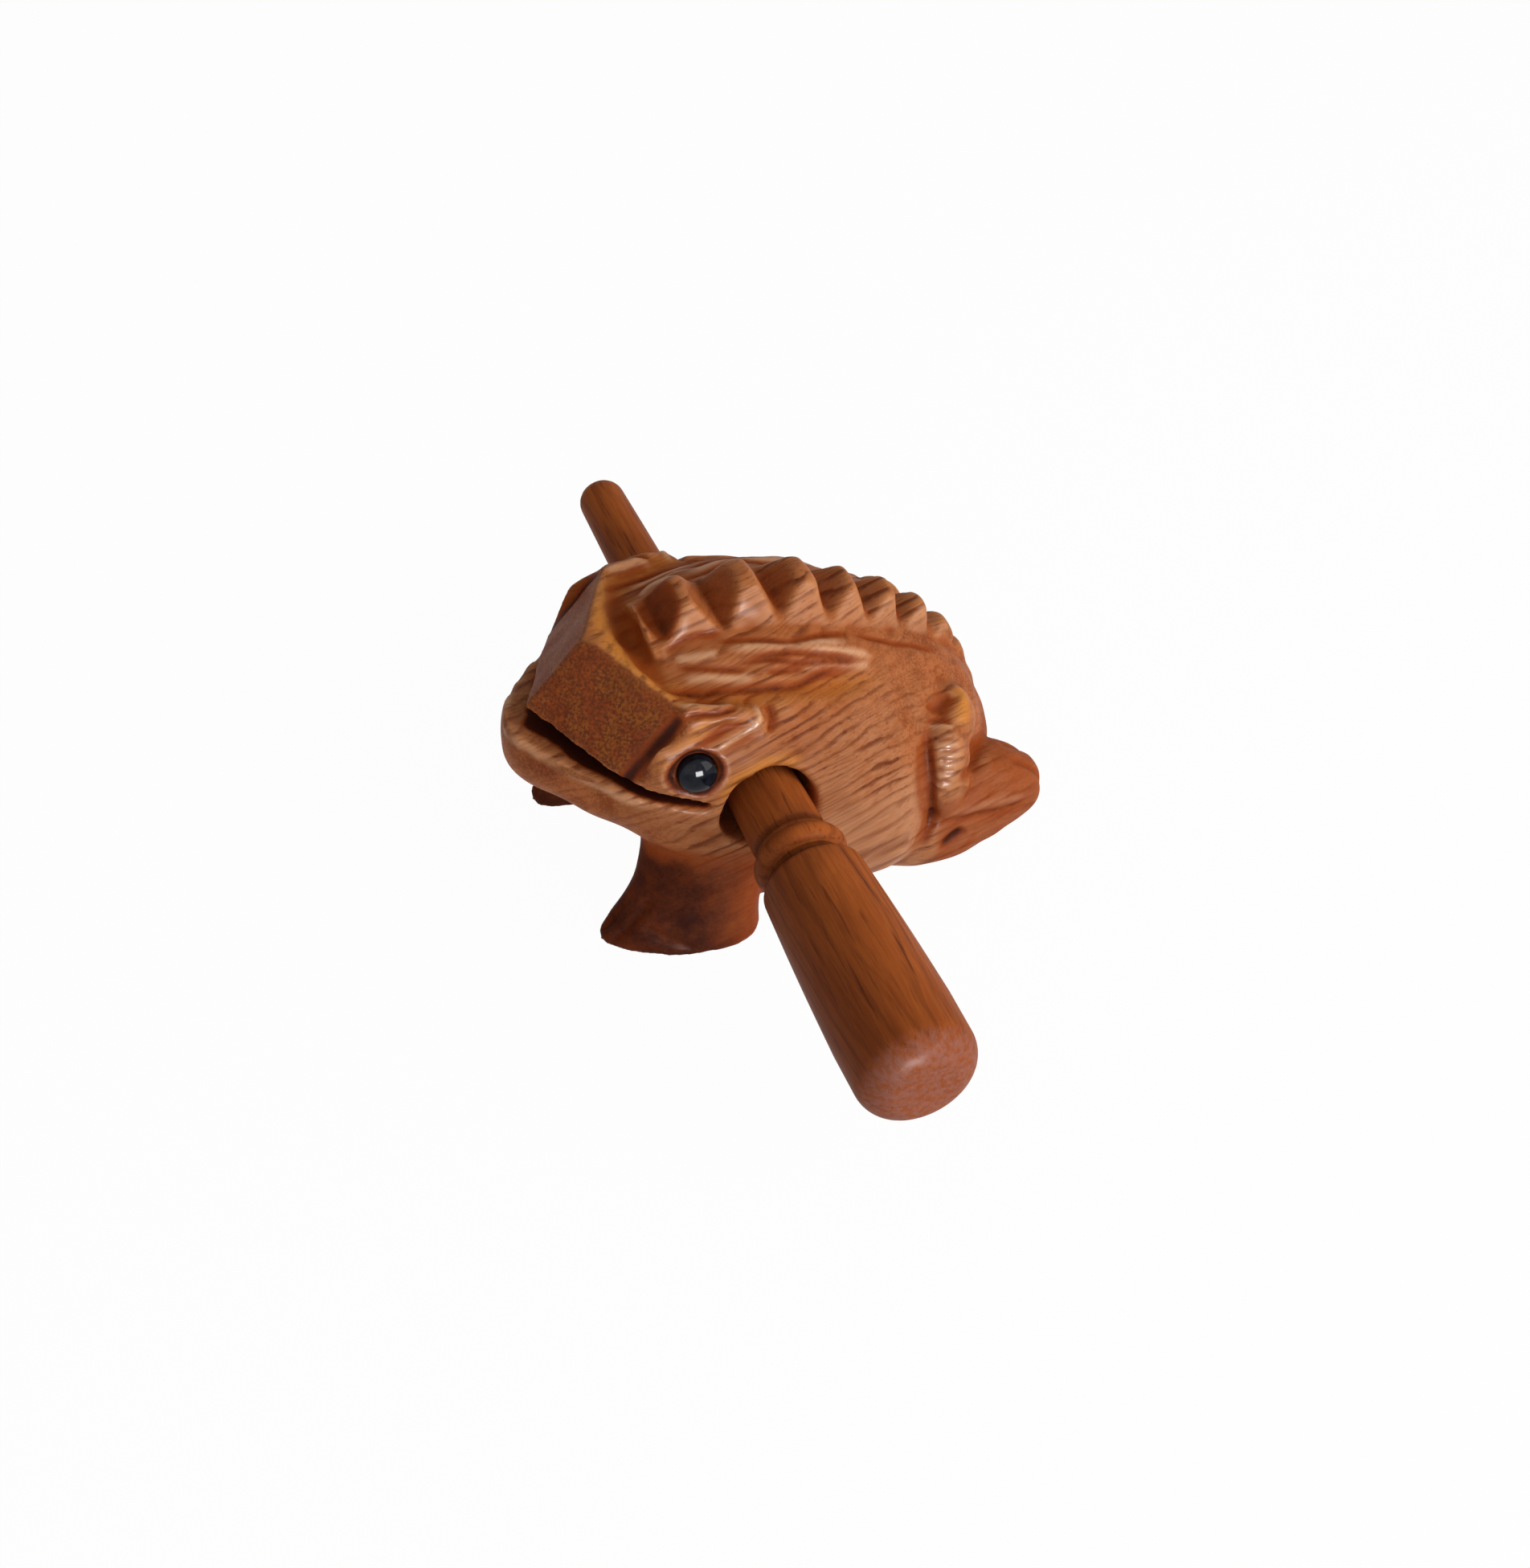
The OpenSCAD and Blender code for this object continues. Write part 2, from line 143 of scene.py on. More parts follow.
def merged_copy(node):
    """The mesh of a CAD node with its loose triangles joined."""
    bm = bmesh.new()
    bm.from_mesh(frame["nodes"][node].data)
    bmesh.ops.remove_doubles(bm, verts=bm.verts, dist=1e-6)
    return bm


def even_skin(bm, voxel):
    """A new bmesh of even squares over the old one."""
    mesh = bpy.data.meshes.new("rough_form")
    bm.to_mesh(mesh)
    bm.free()
    rough = bpy.data.objects.new("rough_form", mesh)
    bpy.context.scene.collection.objects.link(rough)
    remesh = rough.modifiers.new("skin", "REMESH")
    remesh.mode = "VOXEL"
    remesh.voxel_size = voxel
    squares = bmesh.new()
    squares.from_object(rough, bpy.context.evaluated_depsgraph_get())
    bpy.data.objects.remove(rough)
    return squares


skin = even_skin(merged_copy("frog_body"), VOXEL)
print("skin of the frog:", len(skin.verts), "points,", len(skin.faces), "squares")

# %% Sand the skin
SANDING_ROUNDS = 4


def sand(bm, rounds, chosen=None):
    """Smooths all points of a bmesh, or only the chosen ones."""
    bm.verts.ensure_lookup_table()
    verts = bm.verts if chosen is None else [bm.verts[i] for i in np.flatnonzero(chosen)]
    for _ in range(rounds):
        bmesh.ops.smooth_vert(bm, verts=verts, factor=0.5, use_axis_x=True, use_axis_y=True, use_axis_z=True)


def places(bm):
    """Points and normals of a bmesh as arrays."""
    bm.normal_update()
    return np.array([v.co for v in bm.verts]), np.array([v.normal for v in bm.verts])


sand(skin, SANDING_ROUNDS)
points, normals = places(skin)
print("height after sanding:", round(float(points[:, 2].max()) / MM, 1), "mm")

# %% [markdown]
# Some edges get more sanding: the teeth of the ridge, which the striker wears round, the rim of the bore, the
# cheek beside the flat snout, both lips and the soles. They are found by their height above the table or the
# foot of the ridge and by their distance from the bore's axis and from the planes of mouth and snout. The
# frog is the same on both sides, so every place is named by its mirror image on the left.

# %% Find the way about the frog
BORE_Y, BORE_Z, BORE_RADIUS = -9.5, 31.7, 8.7
MOUTH = np.array((0, -9.5, 32.1)) * MM
MOUTH_UP = np.array((0, 0.284, 0.959))
SNOUT_CORNER = np.array((0, -45.2, 44.5)) * MM
SNOUT_FACE = np.array((0.469, -0.646, 0.602))
left = np.where(points[:, :1] < 0, (-1, 1, 1), (1, 1, 1))


def landmarks(points):
    """In mm: place across, along and in height, height above the mouth, distance from the snout's face."""
    folded = points * left
    above_mouth = (points - MOUTH) @ MOUTH_UP / MM
    off_face = np.abs((folded - SNOUT_CORNER) @ SNOUT_FACE) / MM
    return *(folded / MM).T, above_mouth, off_face


across, along, height, above_mouth, off_face = landmarks(points)
print("half width", round(float(across.max()), 1), "mm, lip at", round(float(along.min()), 1), "mm")

# %% Round the worn edges
RIDGE_FOOT = [(-25, 57), (-12, 57), (0, 55.5), (14, 50), (27, 42.5), (34, 37)]
EDGE_ROUNDS = 9
TOOTH_ROUNDS = 11


def between(values, low, high):
    """True where values lie between two limits."""
    return (values > low) & (values < high)


from_rim = np.hypot(along - BORE_Y, height - BORE_Z) - BORE_RADIUS
rim = between(from_rim, -1.3, 1.3) & (across > 20)
cheek = between(across, 21, 24.8) & (along < -17.5) & (height > 42)
upper_lip = between(above_mouth, 0.4, 3.4) & (off_face < 1.6)
lower_lip = between(above_mouth, -4, -0.8) & (along < -18)
soles = height < 1.2
edges = rim | cheek | upper_lip | lower_lip | soles
teeth = (across < 8) & (height > np.interp(along, *np.transpose(RIDGE_FOOT)))
sand(skin, EDGE_ROUNDS, edges)
sand(skin, TOOTH_ROUNDS, teeth)
points, normals = places(skin)
surface = BVHTree.FromBMesh(skin)
print("rounded", int((edges | teeth).sum()), "points")

# %% [markdown]
# ## Gouge strokes
# The carver's lines are strokes of a gouge: each follows a curve over the wood, with a width and a depth. A
# stroke here is a few points in millimetres on the frog's left side. A smooth curve runs through them, is
# drawn onto the skin, and pushes the wood in or, with a negative depth, leaves it standing. Each stroke has a
# mirror image on the right. It also leaves a mark: dark stain gathers in a cut, and one dark stroke, by the
# cheek, is painted shadow instead. A standing edge gets a painted highlight, and where only a little stain
# stays the wood looks golden.

# %% Curves on the skin
SAMPLE_STEP = 0.4


def smooth_curve(knots):
    """Points every SAMPLE_STEP mm on a smooth curve through the knots."""
    knots = np.asarray(knots, float)
    ends = np.vstack([2 * knots[0] - knots[1], knots, 2 * knots[-1] - knots[-2]])
    found = []
    for a, b, c, d in zip(ends, ends[1:], ends[2:], ends[3:]):
        steps = max(2, int(np.linalg.norm(c - b) / SAMPLE_STEP))
        u = np.linspace(0, 1, steps, endpoint=False)[:, None]
        bend = (2 * a - 5 * b + 4 * c - d) * u**2 + (3 * b - 3 * c + d - a) * u**3
        found.append(b + (u * (c - a) + bend) / 2)
    return np.vstack([*found, knots[-1:]])


def on_skin(curve):
    """The points of the skin nearest to a curve in mm."""
    return np.array([surface.find_nearest(Vector(p * MM))[0] for p in curve])


# %% The gouge
REACH = 2.2
BLUNT_END, FADE_RATE = 0.15, 6
BOTH_BLUNT = (False, False)
stain_and_shade, painted_highlight, gold, cut = np.zeros((4, len(points)))


def gouge(knots, width, depth, dark=0.0, light=0.0, yellow=0.0, fade=(True, True)):
    """One stroke on each side of the frog. Width and depth are in mm, the marks it leaves are shares of 1:
    dark adds stain (painted shadow in the cheek's groove), light adds a painted highlight, yellow adds gold.
    """
    for side in (1, -1):
        curve = on_skin(smooth_curve(np.asarray(knots, float) * (side, 1, 1)))
        reach = REACH * width * MM
        near = np.where(((points > curve.min(0) - reach) & (points < curve.max(0) + reach)).all(1))[0]
        gaps = np.linalg.norm(points[near][:, None] - curve[None], axis=2)
        way = gaps.argmin(1) / (len(curve) - 1)
        taper = np.ones(len(near))
        if fade[0]:
            taper = np.minimum(taper, BLUNT_END + FADE_RATE * way)
        if fade[1]:
            taper = np.minimum(taper, BLUNT_END + FADE_RATE * (1 - way))
        share = taper * np.exp(-((gaps.min(1) / (width * MM)) ** 2))
        cut[near] -= depth * MM * share
        stain_and_shade[near] = np.maximum(stain_and_shade[near], dark * share)
        painted_highlight[near] = np.maximum(painted_highlight[near], light * share)
        gold[near] = np.maximum(gold[near], yellow * share)


def show_carving(part):
    """Prints how much of the skin the strokes have moved."""
    print(part, "carved:", int((cut != 0).sum()), "points so far, deepest", round(-cut.min() / MM, 2), "mm")


# %% [markdown]
# ### The head
# A broad groove runs round the front of the ridge and back along the flank as a fold. It leaves a golden rim
# along the top of the snout. A second groove parts the flat snout from the cheek, and its shadow is painted
# on the snout's face. The brow is a small shelf with a dark line under it, and ends in a curl. The shelf,
# the curl and the lid get painted highlights.

# %% Carve the head
FOLD = [
    (0, -24.7, 54.8), (5.1, -24.7, 54.4), (10.3, -23.7, 53.9), (15.9, -21.3, 53.7), (18.6, -15.7, 52.3),
    (19.4, -8.5, 51.3), (19.2, -0.8, 49.9), (18.4, 7.3, 47.2), (16.8, 15.9, 44.1),
]
FOLD_LINE = [
    (12.7, -25, 54.9), (14.5, -21.6, 53.5), (16.1, -16.2, 52.2), (17.1, -10.6, 51.8), (18.4, -1.2, 50.4),
    (16.7, 4.9, 49.2), (15.5, 12.5, 46.8),
]
RIM = [(0, -28.2, 56.8), (4.2, -28.3, 56.6), (10, -26.9, 55.4), (15, -24.5, 54.1), (18.5, -20.9, 53.5)]
CHEEK_GROOVE = [
    (20.4, -23.6, 51.5), (20.4, -26, 49), (20.4, -28.2, 46.6), (20.4, -30.6, 44.1), (20.4, -33.2, 41.3),
]
CHEEK_EDGE = [(22.6, -18, 51.7), (23.3, -22.2, 49.7), (24.1, -25.8, 47.6), (23.9, -28.6, 44.3)]
CHEEK_HOLLOW = [(23.1, -14.3, 51), (23.6, -17.7, 49.2), (24.6, -21.3, 47.8)]
gouge(FOLD, 2.0, 0.9, dark=0.3, yellow=0.8, fade=(False, True))
gouge(FOLD_LINE, 0.8, 0.6, dark=0.85)
gouge(RIM, 2.6, -0.3, yellow=1.0, fade=(False, True))
# Painted shadow: the cheek stands proud of the snout and hides its own wall, so the groove's shadow is
# painted on the snout face beside it.
gouge(CHEEK_GROOVE, 1.5, 0.4, dark=1.0, fade=BOTH_BLUNT)
gouge(CHEEK_EDGE, 1.1, 0.0, yellow=1.0)
gouge(CHEEK_HOLLOW, 0.7, 0.5, dark=0.55)
show_carving("head")

# %% Carve the brow
SHELF = [(19.4, -22.8, 53.4), (19.4, -18.5, 53.2), (20.3, -15.3, 52.8), (19.4, -12.8, 51.7)]
UNDER_SHELF = [
    (20.9, -22.5, 52.6), (21.6, -19.7, 53), (22.2, -16.8, 52.5), (21.9, -14, 52.4), (20.6, -12.4, 52),
]
CURL = [(20.3, -9, 50.9), (22.9, -9.2, 50.5), (24.1, -10, 49.1), (24.1, -11.8, 47.9)]
BEHIND_CURL = [(20.6, -6.8, 50.3), (22, -6.4, 49.1), (23.4, -6.8, 47.7), (24.7, -8.1, 47.1)]
LID = np.array([(23.7, -10.9, 48.3), (24.5, -14.5, 47.9), (25.1, -17.6, 47.1)])
# Painted highlights on the shelf, the curl and the lid.
gouge(SHELF, 1.0, -0.4, light=0.95)
gouge(UNDER_SHELF, 0.55, 0.9, dark=1.0)
gouge(CURL, 0.8, -0.5, light=0.95)
gouge(BEHIND_CURL, 0.6, 1.0, dark=1.0)
gouge(LID, 0.6, -0.4, light=1.0)
gouge(LID + (0.5, 0.3, -1.2), 0.5, 0.3, dark=0.6)
gouge(LID + (-0.8, -1.5, 1.4), 0.6, 0.3, dark=0.6)
show_carving("brow")

# %% [markdown]
# ### The eye sockets
# A dark line in the shape of an almond frames each bead. The line is a ring round the bead, drawn out to a
# corner at the front, with a painted highlight on the edge outside it.

# %% Frame the eyes
EYE = np.array((26.25, -22.04, 43.16))
EYE_OUT = np.array((0.9614, -0.1583, 0.2250))
EYE_UP = np.cross(EYE_OUT, (0, -1, 0))
EYE_UP /= np.linalg.norm(EYE_UP)
EYE_FRONT = np.cross(EYE_UP, EYE_OUT)
RING_RADIUS, CORNER, FLATTENED, HIGHLIGHT_RING = 4.1, 0.8, 0.94, 1.32

turn = np.linspace(0, 2 * np.pi, 25)
almond = RING_RADIUS + CORNER * np.maximum(np.cos(turn), 0) ** 6
ring = EYE + np.outer(almond * np.cos(turn), EYE_FRONT) + np.outer(FLATTENED * almond * np.sin(turn), EYE_UP)
gouge(ring, 0.95, 0.5, dark=1.0, fade=BOTH_BLUNT)
# The pale edge outside the ring is a painted highlight.
gouge(EYE + HIGHLIGHT_RING * (ring - EYE), 0.5, -0.15, light=0.6, fade=BOTH_BLUNT)
show_carving("eye sockets")

# %% [markdown]
# ### Back, legs and feet
# Lengthwise chisel lines fill the band between the ridge and the fold, which swells a little, and painted
# highlights lie on the edges between them. Creases set the folded hind leg off from the flank, and short cuts
# mark the shin and the toes. The knee, the shin and the top edge of each hind foot get painted highlights.

# %% Carve the band below the ridge
SWELL = [(10, -20, 54), (12.4, -10, 53.9), (13.3, 0, 52.6), (12.8, 10, 49.4), (12.6, 17, 46)]
BAND_CUTS = [
    [(7.7, -21.1, 55.5), (6.9, -17, 56.8), (6.9, -14, 57), (7.4, -9.6, 56.4)],
    [(7.8, -12.8, 56), (9, -9.5, 55.9), (10.3, -4, 55.1), (11.3, 1, 53.7), (9.9, 9.4, 51.3), (9.1, 14.5, 49)],
    [(9.1, 14.5, 49), (9.2, 20.9, 45), (8.5, 26.9, 41.2), (7.5, 32.5, 36.7)],
    [(12.4, -7.9, 53.8), (13.2, 1, 52.5), (13.8, 6.2, 50.5), (13.8, 12.5, 47.8)],
    [(12.9, -10.3, 53.4), (13.5, -4.5, 53), (14.9, 2.6, 51), (14.6, 8.9, 48.9), (14.1, 14.7, 46.5)],
    [(10, -20.1, 53.9), (12.2, -14.6, 53.6), (14.4, -7.9, 52.5)],
    [(15.4, -5.3, 52), (15.8, -1.7, 51.5), (15.7, 2.3, 50.7)],
]
BAND_EDGES = [
    [(10.6, -10.2, 55), (11.2, -4.3, 54.6), (11.8, 1.6, 53.2), (11.6, 7.1, 51.4), (11.3, 12.3, 49.3)],
    [(12.7, 3.5, 52.1), (13, 9.6, 49.6), (13, 16.8, 46)],
    [(15.3, 2.4, 50.8), (15, 8, 49), (14.6, 16.1, 45.5)],
    [(12.8, -19.4, 52.9), (13.6, -15.2, 52.7), (15.1, -10.5, 52.1), (15.6, -6.9, 52)],
    [(8.8, -19.6, 54.6), (10.1, -15.3, 54.9), (10.6, -11.7, 55)],
]
gouge(SWELL, 3.0, -0.9)
for line in BAND_CUTS:
    gouge(line, 0.55, 0.5, dark=0.85)
# Painted highlights on the edges between the cuts.
for line in BAND_EDGES:
    gouge(line, 0.9, -0.25, light=1.0)
show_carving("band")

# %% Carve the hind legs
HIP_HOLLOW = [(19.5, 26.8, 33.1), (18.7, 28.5, 34.4), (16.5, 31.2, 34.8)]
HIP_LOBE = [(14.2, 34, 33.1), (19.5, 32.7, 32.9), (21.8, 30.8, 31.2)]
KNEE = np.array([(20.7, 25.2, 32), (21.4, 27.3, 32.1), (22.2, 29.4, 31.5)])
SHIN = [(22.9, 26.6, 32), (25.5, 26.9, 30.3), (26.7, 26.8, 28.6), (27.4, 24.9, 24.8), (27.3, 24.2, 21.5)]
RIB = np.array([(-0.6, -1.6, 0.1), (0, 0, 0), (0.1, 1.9, -0.3)])
FIRST_RIB, NEXT_RIB = 3, 5
CREASE = np.array([
    (21, 24.4, 32.3), (23.4, 23.7, 29.6), (25.7, 23.4, 26.1), (26.6, 23.4, 21.1), (25.5, 24.4, 14.3),
    (26.2, 23, 10.1), (26.5, 21.8, 6.5),
])
CREASE_CORNER = [(25.8, 24, 16.5), (25.5, 24.4, 14.3), (25.8, 23.8, 12.4)]
INSTEP = [(27.8, 28.5, 25.5), (25, 31.6, 22), (19.4, 35.2, 19.6), (16, 38, 19)]
gouge(HIP_HOLLOW, 2.0, 1.4, dark=0.66)
gouge(HIP_LOBE, 1.8, -0.2, yellow=1.0)
# Painted highlights on the knee and the shin.
gouge(KNEE, 0.6, -0.4, light=0.9)
gouge(KNEE + (-0.6, 0.2, 1.0), 0.6, 0.6, dark=0.85)
gouge(SHIN, 1.9, -0.3, light=1.0)
for place in smooth_curve(SHIN)[FIRST_RIB::NEXT_RIB]:
    gouge(place + RIB, 0.5, 0.6, dark=0.5)
gouge(CREASE, 0.8, 0.7, dark=0.74)
gouge(CREASE - (0, 2.0, 0), 1.7, 0.2, dark=0.4)
gouge(CREASE_CORNER, 0.8, 0.5, dark=1.0)
gouge(INSTEP, 1.5, 0.8, dark=0.5)
show_carving("hind legs")

# %% Carve the hind feet
FOOT_LIGHT = [(26, 26.1, 13.4), (26.3, 30, 13.4), (25.8, 36.8, 12.6), (24, 44.3, 10.2)]
FOOT_EDGE = [(26.4, 26.4, 11.8), (26.6, 32.8, 11.2), (25.3, 40, 9), (23.2, 46.8, 7.3)]
HEEL_HOLLOW = [(27.2, 25.9, 5.6), (27.3, 28.5, 7.6), (27, 30.9, 8.9)]
HEEL_CUT = [(26.7, 29.5, 2.9), (26.7, 31.7, 4.5), (26.6, 33.5, 6.8)]
HIND_TOE = np.array([(0, 49.6, 6), (0, 46.6, 12), (0.6, 42.4, 17)])
# Painted highlight on the top edge of the foot.
gouge(FOOT_LIGHT, 0.8, -0.35, light=1.0)
gouge(FOOT_EDGE, 0.7, 0.8, dark=0.85)
gouge(HEEL_HOLLOW, 1.6, 1.0, dark=1.0)
gouge(HEEL_CUT, 0.5, 0.5, dark=0.6)
for toe in (15.5, 20):
    gouge(HIND_TOE + (toe, 0, 0), 0.8, 0.7, dark=0.6)
show_carving("hind feet")

# %% Carve the front feet, the lip and the edge of the bore
FRONT_TOE = np.array([(0, -41, 2), (0.6, -37, 7), (1.6, -33, 13)])
OUTER_TOE = [(29.8, -24, 1.5), (29.5, -30, 5), (27, -35, 8)]
LIP = [(0, -48.8, 40.6), (5.1, -46.4, 40.2), (11, -42.8, 39.4), (17.4, -37.3, 37.6), (24, -29.2, 35.2)]
GOLDEN_RADIUS, FLANK = 10.6, 29.0
for toe in (18.5, 23.5):
    gouge(FRONT_TOE + (toe, 0, 0), 0.9, 0.7, dark=0.5)
gouge(OUTER_TOE, 0.8, 0.5, dark=0.4)
# Painted highlight along the lip.
gouge(LIP, 0.9, -0.1, light=0.8, fade=(False, True))
turn = np.radians(np.linspace(50, 150, 7))
bore_y, bore_z = BORE_Y + GOLDEN_RADIUS * np.cos(turn), BORE_Z + GOLDEN_RADIUS * np.sin(turn)
gouge(np.stack([np.full(7, FLANK), bore_y, bore_z], 1), 1.4, 0.0, yellow=0.9)
show_carving("front feet and lip")

# %% [markdown]
# ### Unevenness
# A knife leaves no surface quite even. A sum of slow waves in random directions, the same on every run,
# moves the skin by about a tenth of a millimetre. The soles and the belly were sawn flat and stay on the
# table.

# %% Move the skin
WAVES = 28
WAVE_HEIGHT = 0.03 * MM
random = np.random.default_rng(7)
wave_ways = random.normal(size=(WAVES, 3))
wave_ways /= np.linalg.norm(wave_ways, axis=1)[:, None]
wave_lengths = random.uniform(5, 13, WAVES) * MM
phases = random.uniform(0, 2 * np.pi, WAVES)
uneven = np.sin(points @ (wave_ways * (2 * np.pi / wave_lengths)[:, None]).T + phases).sum(1)
carved = points + normals * (cut + uneven * WAVE_HEIGHT)[:, None]
carved[:, 2] = np.maximum(carved[:, 2], 0)
for vertex, place in zip(skin.verts, carved):
    vertex.co = place
sand(skin, 1)
points, normals = places(skin)
print("waves move the skin by", round(float(np.abs(uneven).mean() * WAVE_HEIGHT / MM), 2), "mm on average")

# %% [markdown]
# ## Stain and wear
# When such a frog is finished, dark stain is brushed on and wiped off: it stays in the hollows, and the high
# places come out light. The hollows are darkened partly for that stain and partly as painted shade, where
# little light reaches. How hollow a place is shows when each point is compared with the mean of its
# neighbours, near and far. Inside the mouth the skin faces itself, so a short ray from each point finds the
# covered places there, which get painted shade. The flat snout stays dark all over. Painted shade also
# darkens the front feet under the head and the striker, and the front faces of the teeth. The hind feet are
# darker at the bottom, and the back is warmer than the flanks. Painted highlights lighten the lower flank
# and the outer sides of the teeth. These measures are kept on the mesh for the material.

# %% Measure the hollows
NEAR_ROUNDS, WIDE_ROUNDS = 6, 42
NEAR_FULL, WIDE_FULL = 0.25, 0.9
links = np.array([[v.index for v in e.verts] for e in skin.edges])
starts, stops = np.concatenate([links, links[:, ::-1]]).T
neighbours = np.bincount(starts, minlength=len(points))[:, None]


def spread(values, rounds):
    """Values averaged with their neighbours a number of times."""
    for _ in range(rounds):
        sums = [np.bincount(starts, column[stops], minlength=len(points)) for column in values.T]
        values = (values + np.stack(sums, 1) / neighbours) / 2
    return values


near_hollow = ((spread(points, NEAR_ROUNDS) - points) * normals).sum(1) / MM
wide_hollow = ((spread(points, WIDE_ROUNDS) - points) * normals).sum(1) / MM
hollow = 0.45 * np.clip(near_hollow / NEAR_FULL, -1, 1) + 0.55 * np.clip(wide_hollow / WIDE_FULL, -1, 1)
print("share hollow", round(float((hollow > 0.4).mean()), 3), "high", round(float((hollow < -0.4).mean()), 3))

# %% Find the mouth and the snout
RAY_START, RAY_LENGTH = 0.2 * MM, 5 * MM
surface = BVHTree.FromBMesh(skin)
across, along, height, above_mouth, off_face = landmarks(points)


def ramp(values, start, end):
    """0 at start, 1 at end and a straight rise between them."""
    return np.clip((values - start) / (end - start), 0, 1)


def is_covered(point, normal):
    """True where a short ray from the skin meets the skin again."""
    return surface.ray_cast(Vector(point + normal * RAY_START), Vector(normal), RAY_LENGTH)[0] is not None


# Painted shade: the places inside the mouth where a short ray meets the skin again are darkened.
mouth_shade = np.array([is_covered(*pair) for pair in zip(points, normals)]) * ramp(np.abs(above_mouth), 2.8, 1.8)
facing = (normals * left) @ SNOUT_FACE
snout = ramp(off_face, 1.6, 0.6) * ramp(facing, 0.72, 0.92) * (height > 36)
print("share deep", round(float((mouth_shade > 0.5).mean()), 3), "snout", round(float((snout > 0.5).mean()), 3))

# %% Stain the low places and paint shade into them
ridge = (along > -21) & (height > 30)
# Painted shade: the front faces of the teeth, which face away from the lamps, are darkened, most on the first
# teeth.
notch_face_shade = ramp(-normals[:, 1], 0.35, 0.65) * (across < 8.5) * ridge * (0.72 - 0.5 * ramp(along, -19, -11))
# Painted shade: the front feet, which lie under the head and the striker, are darkened.
front_foot_shade = ramp(height, 26, 18) * ramp(along, -2, -9) * (1 - 0.35 * ramp(along, -24, -14))
# The hind feet are darker at the bottom.
hind_foot = ramp(height, 21, 18) * ramp(along, 23.5, 25.5)
# One mark gathers it all: stain from the strokes with one painted shadow among them, the hollows, which hold
# stain and painted shade, and the painted shade above.
darkened_places = [stain_and_shade, np.minimum(hollow, 0.5), mouth_shade, notch_face_shade, 0.8 * front_foot_shade, 0.35 * hind_foot]
stain_and_shade = np.clip(spread(np.maximum.reduce(darkened_places)[:, None], 2)[:, 0], 0, 1)
print("share stained", round(float((stain_and_shade > 0.5).mean()), 3))

# %% Wear the high ones and paint highlights
GRAIN = np.array((0.0, 0.978, 0.208))
bare = (1 - stain_and_shade) * (1 - 0.9 * snout)
wear = np.clip(-1.1 * hollow - 0.1, 0, 1) * bare
# Painted light: the lower flank before the hind leg is painted paler.
lit_lower_flank = 0.45 * ramp(height, 33, 24) * ramp(along, -6, 2) * ramp(along, 24, 20) * ramp(across, 18, 24)
facing_out = normals[:, 0] * left[:, 0]
# Painted light: the outer sides of the teeth are painted paler, as a lamp on that side would light them.
lit_tooth_side = 0.4 * ramp(facing_out, 0.4, 0.65) * (across < 9) * ridge * (height > 36)
marks = {
    "stain_and_shade": stain_and_shade,
    "wear": wear,
    "painted_highlight": np.clip(np.maximum.reduce([painted_highlight, lit_lower_flank, lit_tooth_side]) - 0.1, 0, 1) * bare,
    "gold": gold * bare,
    "back": ramp(height, 42, 52) * bare,
    "cut_end": ramp(np.abs(spread(normals, 3) @ GRAIN), 0.35, 0.75),
    "snout": spread(snout[:, None], 2)[:, 0],
}
print("mean of each mark:", {name: round(float(values.mean()), 3) for name, values in marks.items()})


# %% Finish the piece
def finished_piece(name, bm, body, nodes):
    """Puts a bmesh into the scene as a piece that stands for CAD nodes and rides on their body."""
    mesh = bpy.data.meshes.new(name)
    bm.to_mesh(mesh)
    bm.free()
    mesh.shade_smooth()
    piece = bpy.data.objects.new(name, mesh)
    bpy.context.scene.collection.objects.link(piece)
    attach(piece, body)
    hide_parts(*nodes)
    print(name, "has", sum(len(p.vertices) - 2 for p in mesh.polygons), "triangles")
    return piece


def keep_mark(piece, name, values):
    """Keeps one value for each point on the mesh, under a name that a material can read."""
    piece.data.attributes.new(name, "FLOAT", "POINT").data.foreach_set("value", values.astype(np.float32))


frog = finished_piece("carved_frog", skin, "frog", ["frog_body"])
for name, values in marks.items():
    keep_mark(frog, name, values)

# %% [markdown]
# ## Wood
# The grain runs along the frog and along the striker. Growth rings are curved layers round the tree's heart:
# where a carved face slices them at a slant they draw long lines. The rings are the distance from a heart
# line beside the block, bent by slow noise. Over them lie pores, short dark dashes of noise stretched along
# the grain, then fine fibres, and patches of redder and yellower wood.

# %% The wood
RING_SPACING = 2.3 * MM
FINE_SPACING = 0.75 * MM


